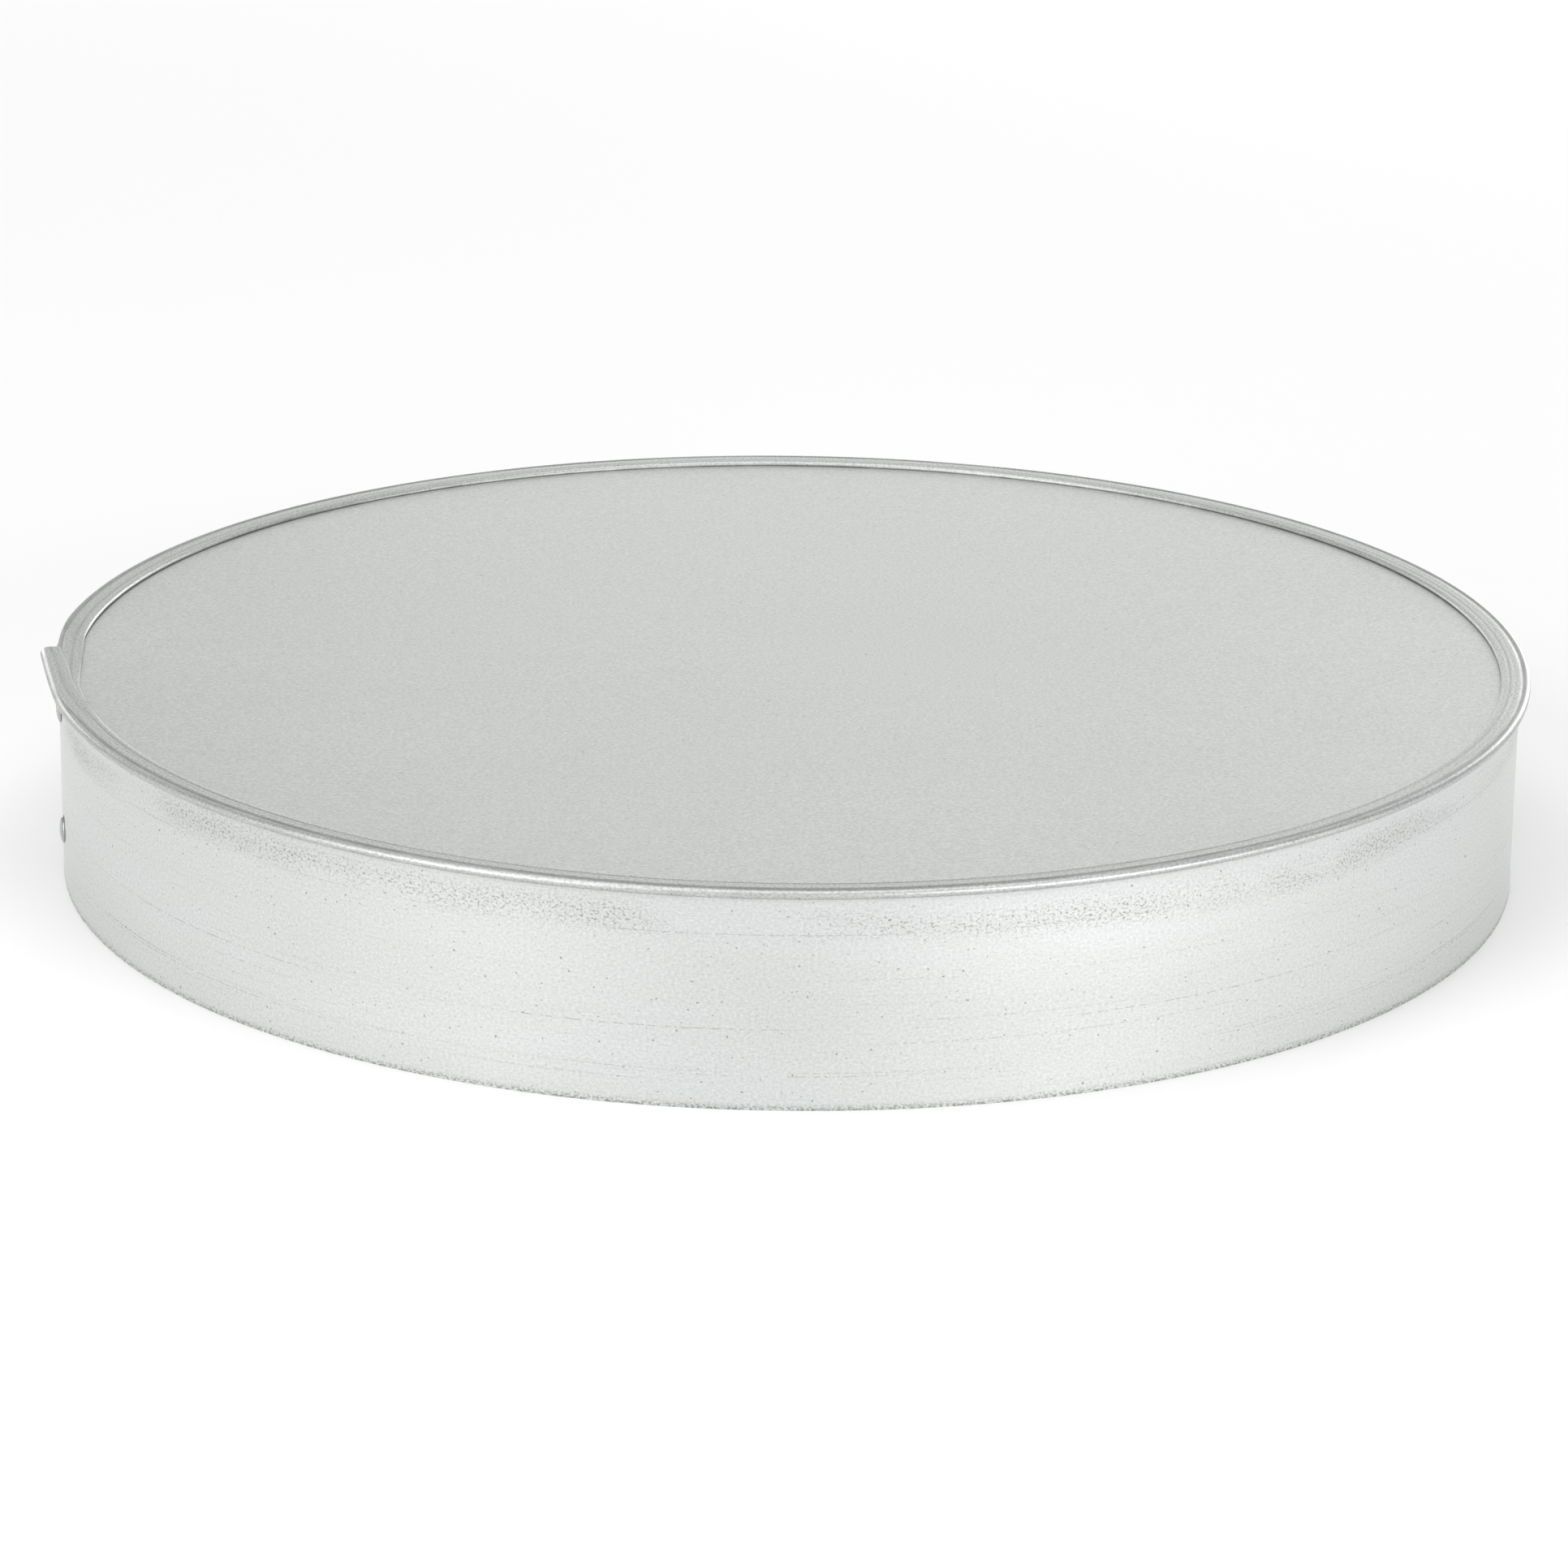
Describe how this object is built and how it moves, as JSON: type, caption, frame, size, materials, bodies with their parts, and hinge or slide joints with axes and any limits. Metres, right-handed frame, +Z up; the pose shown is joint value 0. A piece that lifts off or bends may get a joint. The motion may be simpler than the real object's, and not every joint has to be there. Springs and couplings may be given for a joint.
{
  "type": "oil drain pan",
  "caption": "Shallow round galvanised sheet-metal drain pan lying on its open mouth: folded rim round a flat floor disc, plain wall, riveted lap joint with a flange tab.",
  "frame": {"origin": "on the pan's axis, at the height of the wall's cut edge that it stands on, which is the middle of the bounding box's bottom but for the tab's 1.4 mm", "axes": "+Z up out of the floor disc's outer face, the pan lying on its mouth; the riveted lap is at -X, 10.7 degrees towards -Y"},
  "size_m": [0.4149, 0.4122, 0.059],
  "materials": {
    "strip": "galvanised steel strip, satin, with long rolling scratches and fine grey mottling under the rim",
    "disc": "galvanised steel sheet, even matt grey with a fine grain",
    "rivet": "plain steel blind rivet, semi-bright",
    "mandrel": "zinc-plated steel mandrel, broken off",
    "compound": "grey seam sealing compound, matt"
  },
  "bodies": {
    "root": {"wall_band": "strip", "base_disc": "disc", "seam_sealant": "compound", "lap_sealant": "compound", "rivet_body_lower": "rivet", "rivet_mandrel_lower": "mandrel", "rivet_body_upper": "rivet", "rivet_mandrel_upper": "mandrel"}
  },
  "joints": []
}
